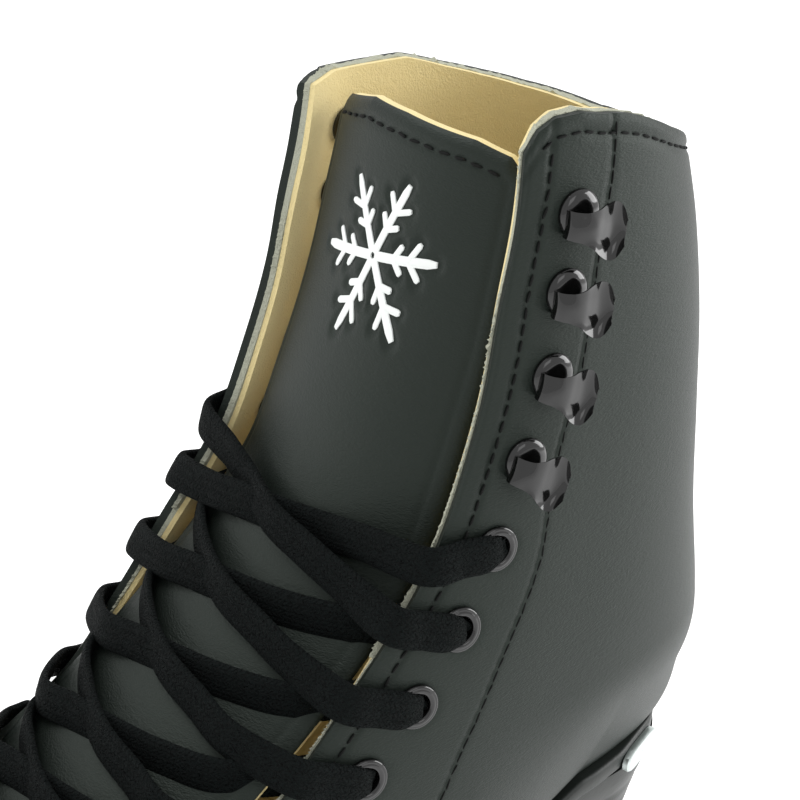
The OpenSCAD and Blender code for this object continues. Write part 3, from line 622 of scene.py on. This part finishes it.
def ribbon(name, entries, mat):
    """Flat band swept through the entries: a rounded oblong section |x|^4 + |y|^2.4 = 1 turned to each face
    direction, rings every 0.6 mm, ends closed."""
    pts = np.array([e[0] for e in entries], float)
    ups = np.array([e[1] for e in entries], float)
    wid = np.array([e[2] for e in entries], float)
    run = np.concatenate([[0], np.cumsum(np.linalg.norm(np.diff(pts, axis=0), axis=1))])
    steps = np.arange(0, run[-1], 0.6)
    at = np.interp(steps, run, np.arange(len(pts)))
    p, u, w = curve(pts, at), curve(ups, at), curve(wid, at)
    d = np.gradient(p, axis=0)
    d /= np.linalg.norm(d, axis=1, keepdims=True)
    s = np.cross(u, d)
    s /= np.linalg.norm(s, axis=1, keepdims=True)
    n = np.cross(d, s)
    m = 28
    a = np.linspace(0, 2 * np.pi, m, endpoint=False)
    cx = np.sign(np.cos(a)) * np.abs(np.cos(a)) ** 0.55
    cy = np.sign(np.sin(a)) * np.abs(np.sin(a)) ** 0.8
    rings = (p[:, None] + s[:, None] * (w[:, None] / 2 * cx[None])[..., None]
             + n[:, None] * (LACE_T / 2 * cy[None])[..., None])
    length = np.concatenate([[0], np.cumsum(np.linalg.norm(np.diff(p, axis=0), axis=1))])
    verts = rings.reshape(-1, 3)
    k = len(p)
    i, j = np.meshgrid(np.arange(k - 1), np.arange(m), indexing="ij")
    j2 = (j + 1) % m
    faces = np.stack([i * m + j, i * m + j2, (i + 1) * m + j2, (i + 1) * m + j], -1).reshape(-1, 4).tolist()
    faces += [list(range(m - 1, -1, -1)), [(k - 1) * m + q for q in range(m)]]
    uv = np.stack([np.repeat(length[:, None] * 0.001, m, 1), np.repeat((cx * 0.5)[None], k, 0)], -1)
    obj = new_object(name, verts, faces, "boot", uv.reshape(-1, 2), 60)
    obj.data.materials.append(mat)
    return obj


lace_mat, lace_tree, lace_main = shader("lace", (0.0018, 0.004, 0.0038), 0.9, Specular_IOR_Level=0.16)


def braid(tree, main):
    """Braided height: columns across the lace, each a run of slanted yarns |sin(pi(f u + g w))| leaning the
    opposite way to its neighbour, from the UV map (metres along, minus half to half across)."""
    uvs = tree.nodes.new("ShaderNodeTexCoord")
    split = tree.nodes.new("ShaderNodeSeparateXYZ")
    tree.links.new(uvs.outputs["UV"], split.inputs["Vector"])

    def calc(op, a, b=None):
        """Output of a new Math node of the given kind, fed by numbers or by other outputs."""
        node = tree.nodes.new("ShaderNodeMath")
        node.operation = op
        for k, q in enumerate((a, b)):
            if q is None:
                continue
            if isinstance(q, (int, float)):
                node.inputs[k].default_value = q
            else:
                tree.links.new(q, node.inputs[k])
        return node.outputs[0]

    along, across = split.outputs["X"], split.outputs["Y"]
    col = calc("MULTIPLY", across, 8.0)
    local = calc("ABSOLUTE", calc("SUBTRACT", calc("FRACT", calc("MULTIPLY", col, 0.5)), 0.5))
    phase = calc("ADD", calc("MULTIPLY", along, 780.0), calc("MULTIPLY", local, 1.8))
    stray = tree.nodes.new("ShaderNodeTexNoise")
    stray.inputs["Scale"].default_value = 900
    tree.links.new(uvs.outputs["Object"], stray.inputs["Vector"])
    phase = calc("ADD", phase, calc("MULTIPLY", stray.outputs["Fac"], 1.5))
    yarn = calc("ABSOLUTE", calc("SINE", calc("MULTIPLY", phase, math.pi)))
    ridge = calc("ABSOLUTE", calc("SINE", calc("MULTIPLY", col, math.pi)))
    height = calc("ADD", calc("MULTIPLY", yarn, 0.6), calc("MULTIPLY", ridge, 0.4))
    bump = tree.nodes.new("ShaderNodeBump")
    bump.inputs["Strength"].default_value = 1.0
    bump.inputs["Distance"].default_value = 0.0011
    tree.links.new(height, bump.inputs["Height"])
    fine = grain(tree, main, (2200,), (1.0,), 0.0008)
    tree.links.new(bump.outputs["Normal"], fine.inputs["Normal"])


braid(lace_tree, lace_main)
for side, lifts in ((1, (0, 2.6, 0, 2.6, 0, 2.6)), (-1, (2.6, 0, 2.6, 0, 2.6, 0))):
    entries = top_crossing(EYES[0], EYES[1], side, lifts[0])
    for k in range(1, 6):
        entries += crossing(EYES[k], EYES[k + 1], -side if k % 2 else side, lifts[k])
    entries += [lace_hole(EYES[6], side)]
    strand = ribbon("lace_strand_" + ("outer" if side > 0 else "inner"), entries, lace_mat)
    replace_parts(strand, "lace")
low = EYES[6]
low_e, low_h, low_d = curve(EDGE, low), curve(HOLE, low), curve(LINE_I, low) + 1.5
bar = [lace_hole(low, 1), lace_skin(low + 0.05, low_h + (low_e - low_h) * 0.3, low_d, 1),
       lace_skin(low + 0.1, low_h + (low_e - low_h) * 0.9, low_d, 1)]
bar += [lace_tongue(low + 0.14, s, -1.5) for s in (0.7, 0.3, 0, -0.3, -0.7)]
bar += [lace_skin(low + 0.1, low_h + (low_e - low_h) * 0.9, low_d, -1),
        lace_skin(low + 0.05, low_h + (low_e - low_h) * 0.3, low_d, -1), lace_hole(low, -1)]
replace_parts(ribbon("lace_bar", bar, lace_mat), "lace")

# ---- Eyelets and hooks ----
# Black enamelled brass: round flanged eyelets, and hooks with a domed base, a strap that rises on the
# throat side and a wide flared lip that looks to the back of the boot.
HOOKS = [1.4, 2.25, 3.1, 3.95]
enamel, _, _ = shader("hardware_black", (0.003, 0.003, 0.003), 0.1, Coat_Weight=0.3)


def seat_frame(v, side):
    """Place and axes at a lace hole: +x down the row, +y away from the throat, +z out of the leather."""
    th = curve(HOLE, v)
    x = boot(v + 0.1, curve(HOLE, v + 0.1), 0) - boot(v - 0.1, curve(HOLE, v - 0.1), 0)
    x /= np.linalg.norm(x)
    z = outward(v, th)
    y = np.cross(z, x)
    y = y / np.linalg.norm(y) * np.sign(np.dot(y, boot(v, th + 2, 0) - boot(v, th - 2, 0)))
    flip = np.array([1, side, 1])
    return boot(v, th, 0) * flip, x * flip, y * flip, z * flip


def turned(profile, count):
    """Rings of a lathe: each (radius, height) of the profile at count angles, in local x, y, z."""
    a = np.linspace(0, 2 * np.pi, count, endpoint=False)
    r, h = np.array(profile, float)[:, :1], np.array(profile, float)[:, 1:]
    return np.stack([r * np.cos(a), r * np.sin(a), h + 0 * a], -1)


def placed(local, spot):
    """Local grid carried to a seat frame."""
    p, x, y, z = spot
    return p + local[..., :1] * x + local[..., 1:2] * y + local[..., 2:] * z


# Eyelet profiles as (radius, height) from the hole's middle: the first points close the barrel with a flat
# black floor 1.7 mm down. This floor is painted shade standing in for the dark inside of the hole, and the
# lace runs through it.
eyelet_out = [(0.05, -1.7), (2.7, -1.7), (2.8, -1.4), (2.8, -0.2), (2.95, 0.35), (3.3, 0.72), (3.8, 0.86),
              (4.1, 0.74), (4.25, 0.66), (4.45, 0.72), (4.75, 0.62), (4.95, 0.4), (5.05, 0.15), (5.0, -0.3)]
eyelet_in = [(0.05, -1.8), (2.9, -1.8), (3.1, -1.5), (3.2, -0.5)]
eyelet_in += [(r, -0.4) for r in (3.3, 3.5, 3.8, 4.1, 4.25, 4.45, 4.6, 4.7, 4.8, 4.9)]
DOME = [(5.0, 0.0), (5.0, 0.5), (4.7, 0.95), (4.0, 1.3), (3.0, 1.5), (1.6, 1.62), (0.05, 1.65)]
hook_t = np.linspace(0, 1, 41)[:, None]
hook_s = np.linspace(-1, 1, 25)[None, :]
hook_y = curve(np.array([-3.4, -4.5, -4.9, -4.0, -2.2, 0.0, 2.3, 4.5, 6.1, 7.0]), hook_t * 9)
hook_z = curve(np.array([0.4, 1.2, 2.8, 4.4, 5.3, 5.5, 5.1, 4.8, 5.2, 6.1]), hook_t * 9)
hook_half = curve(np.array([2.6, 2.7, 2.8, 2.9, 3.1, 3.9, 5.2, 5.9, 5.2, 2.6]), hook_t * 9)
flare = np.clip((hook_t - 0.4) / 0.4, 0, 1)
base_shift = np.array([-1.6, -0.6, 0.0])
for side, word in ((1, "left"), (-1, "right")):
    for k, v in enumerate(EYES):
        spot = seat_frame(v, side)
        ring = slab("eyelet_%s_%d" % (word, k), placed(turned(eyelet_out, 48), spot),
                    placed(turned(eyelet_in, 48), spot), "boot", wrap=True, sharp=60)
        ring.data.materials.append(enamel)
        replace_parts(ring, "eyelets_" + word)
    for k, v in enumerate(HOOKS):
        spot = seat_frame(v, side)
        x = hook_half * hook_s + 0.9 * hook_t
        y = hook_y - 1.1 * flare * hook_s**2 + 0 * hook_s
        z = hook_z + flare * 1.3 * np.abs(hook_s) ** 3 - (1 - flare) * 0.5 * hook_s**2
        outer = np.stack([x + 0 * y, y, z], -1)
        tilt_y, tilt_z = np.gradient(outer[..., 1], axis=0), np.gradient(outer[..., 2], axis=0)
        size = np.hypot(tilt_y, tilt_z)
        thick = 0.95 * np.sqrt(1 - 0.9 * hook_s**8)
        inner = outer + np.stack([0 * x, tilt_z / size * thick, -tilt_y / size * thick], -1)
        strap = slab("hook_%s_%d" % (word, k), placed(outer, spot), placed(inner, spot), "boot", sharp=70)
        strap.data.materials.append(enamel)
        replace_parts(strap, "hooks_" + word)
        dome = turned(DOME, 40)
        under = turned([(4.9 * share, -0.5) for share in np.linspace(1, 0.1, 7)], 40)
        base = slab("hook_base_%s_%d" % (word, k), placed(dome + base_shift, spot),
                    placed(under + base_shift, spot), "boot", wrap=True, sharp=60)
        base.data.materials.append(enamel)
        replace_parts(base, "hooks_" + word)

# ---- Sole, heel and badge ----
# Black leather outsole and stacked heel with rounded edges, a rubber lift, and a plain bright badge
# on the outer side.
sole_mat, sole_tree, sole_main = shader("sole_leather", (0.012, 0.015, 0.013), 0.42, Specular_IOR_Level=0.4)
grain(sole_tree, sole_main, (500, 1600), (0.15, 0.15), 0.0003)
rubber, _, _ = shader("heel_rubber", (0.012, 0.012, 0.012), 0.6)
bright, bright_tree, bright_main = shader("badge_steel", (0.62, 0.68, 0.66), 0.35, Metallic=0.85)
grain(bright_tree, bright_main, (300, 900), (0.3, 0.2), 0.0004)
SOLE = 5.0
BACK_X, BACK_Y = [3, 4, 7, 12, 18, 34, 45, 60, 75, 90], [0, 8, 16, 22, 26.5, 32, 33.5, 34, 33.5, 33]
OUT_X = BACK_X + [110, 130, 150, 170, 190, 210, 230, 245, 258, 268, 276, 283, 288, 291, 292]
OUT_Y = BACK_Y + [33, 34, 37, 41, 44.5, 46, 45.5, 43, 38.5, 33.5, 27.5, 19, 9, 0, -9]
IN_X = BACK_X + [110, 125, 140, 160, 180, 200, 220, 240, 258, 270, 279, 285, 289, 291, 292]
IN_Y = BACK_Y + [32, 31, 31.5, 34.5, 40, 45.5, 47.5, 48, 47, 44, 39, 32, 24, 15, 11]
sole_u = np.linspace(-1, 1, 260)[:, None]
sole_w = np.sin(np.linspace(-np.pi / 2, np.pi / 2, 61))[None, :]
sole_x = 147.5 + 144.4 * np.sin(sole_u * np.pi / 2)
out_y, in_y = np.interp(sole_x, OUT_X, OUT_Y), -np.interp(sole_x, IN_X, IN_Y)
blur = np.hanning(9) / np.hanning(9).sum()
smooth = np.zeros((len(sole_x), 2))
for k, edge in enumerate((out_y, in_y)):
    smooth[:, k] = np.convolve(np.pad(edge[:, 0], 4, mode="edge"), blur, mode="valid")
sole_y = smooth.mean(1)[:, None] + (smooth[:, :1] - smooth[:, 1:]) / 2 * sole_w
sole_z = np.interp(sole_x, SEAT_X, SEAT_Z) + 0 * sole_w
round_off = 0.9 * np.clip(1 - (1 - np.abs(sole_w)) * 36, 0, 1) ** 2
sole = slab("outsole_smooth", np.stack([sole_x + 0 * sole_w, sole_y, sole_z - 0.02 - round_off], -1),
            np.stack([sole_x + 0 * sole_w, sole_y, sole_z - SOLE + round_off], -1), "boot", sharp=50)
sole.data.materials.append(sole_mat)
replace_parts(sole, "outsole")


def heel_ring(x0, x1, half, count):
    """Heel plan seen from above: a round back half and a squarer front, |x|^n + |y|^n = 1 with n 2 and 5."""
    a = np.linspace(0, 2 * np.pi, count, endpoint=False)
    c, s = np.cos(a), np.sin(a)
    n = np.where(c < 0, 2.0, 5.0)
    x = (x0 + x1) / 2 + (x1 - x0) / 2 * np.sign(c) * np.abs(c) ** (2 / n)
    return x, half * np.sign(s) * np.abs(s) ** (2 / np.where(c < 0, 2.1, 3.0))


def heel_stack(name, levels, mat, node):
    """Closed stack of heel rings; each level is height, back x, front x, half width, and whether the
    height is measured down from the sole."""
    rings = []
    for z, x0, x1, half, follow in levels:
        x, y = heel_ring(x0, x1, half, 96)
        height = np.interp(x, SEAT_X, SEAT_Z) - SOLE - z if follow else z + 0 * x
        rings.append(np.stack([x, y, height], -1))
    rings = np.array(rings)
    middle = rings.mean(1, keepdims=True)
    core = middle + (rings - middle) * 0.05
    core[..., 2] = rings[..., 2]
    for end in (0, -1):
        core[end] = middle[end] + (rings[end] - middle[end]) * 0.02
    obj = slab(name, rings, core, "boot", wrap=True, sharp=45)
    obj.data.materials.append(mat)
    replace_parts(obj, node)


levels = []
for k in range(22):
    z = 65 + k * 1.25
    f = ((z - 60) / 41) ** 1.25
    groove = 0.2 if k % 4 == 0 else 0.0
    levels.append((z, 15.0 - 11.6 * f + groove, 60.5 + 7 * f - groove, 26.0 + 6.2 * f - groove, False))
levels.append((4.0, 4.6, 67.0, 31.9, True))
levels.append((0.1, 3.6, 69.0, 32.2, True))
heel_stack("heel_smooth", levels, sole_mat, "heel")
lift_levels = [(60.0, 16.5, 58.5, 25.0, False), (60.2, 15.6, 59.4, 25.8, False),
               (60.9, 15.2, 60.0, 26.2, False), (64.9, 14.6, 60.6, 26.6, False)]
heel_stack("heel_lift_smooth", lift_levels, rubber, "heel_lift")
badge_a = np.linspace(0, 2 * np.pi, 64, endpoint=False)
badge_x = 5.8 * np.sign(np.cos(badge_a)) * np.abs(np.cos(badge_a)) ** 0.3 + 3.0 * np.cos(badge_a)
badge_z = 3.0 * np.sign(np.sin(badge_a)) * np.abs(np.sin(badge_a)) ** 0.8
BADGE_AT = np.array([25.99, 29.32, 101.6])
tilt = math.radians(19)
badge_way = np.array([math.cos(tilt), math.sin(tilt), 0.0])
badge_face = np.array([-math.sin(tilt), math.cos(tilt), 0.0])


def badge_rings(steps):
    """Rings of the badge: each step is a share of its outline and a height off the heel."""
    flat = np.outer(badge_x, badge_way) + np.outer(badge_z, (0, 0, 1))
    return np.array([BADGE_AT + flat * share + badge_face * height for share, height in steps])


badge_top = badge_rings([(1.0, 0.1), (1.0, 1.4), (0.95, 1.75), (0.8, 1.8), (0.4, 1.82), (0.02, 1.82)])
badge_under = badge_rings([(share, 0.02) for share in (0.98, 0.8, 0.6, 0.4, 0.2, 0.01)])
badge = slab("badge_plain", badge_top, badge_under, "boot", wrap=True, sharp=40)
badge.data.materials.append(bright)
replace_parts(badge, "heel_badge")

# ---- Remaining parts ----
# The polished steel blade with its two plates and countersunk screws, the insole and the hidden layers
# are shown as they were built, each in the finish of its kind.
steel, _, _ = shader("blade_steel", (0.40, 0.42, 0.43), 0.24, Metallic=1.0)
looks = {
    "eyelet": enamel, "hook": enamel, "aglets": enamel,
    "insole": lining_mat, "vamp_lining": lining_mat, "toe_puff": lining_mat, "heel_counter": lining_mat,
    "runner": steel, "front_stanchion": steel, "rear_stanchion": steel, "sole_plate": steel,
    "heel_plate": steel, "heel_screws": steel, "sole_screws": steel}
for name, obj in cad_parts.items():
    if obj.hide_render:
        continue
    for word, mat in looks.items():
        if name.startswith(word):
            obj.data.materials.clear()
            obj.data.materials.append(mat)
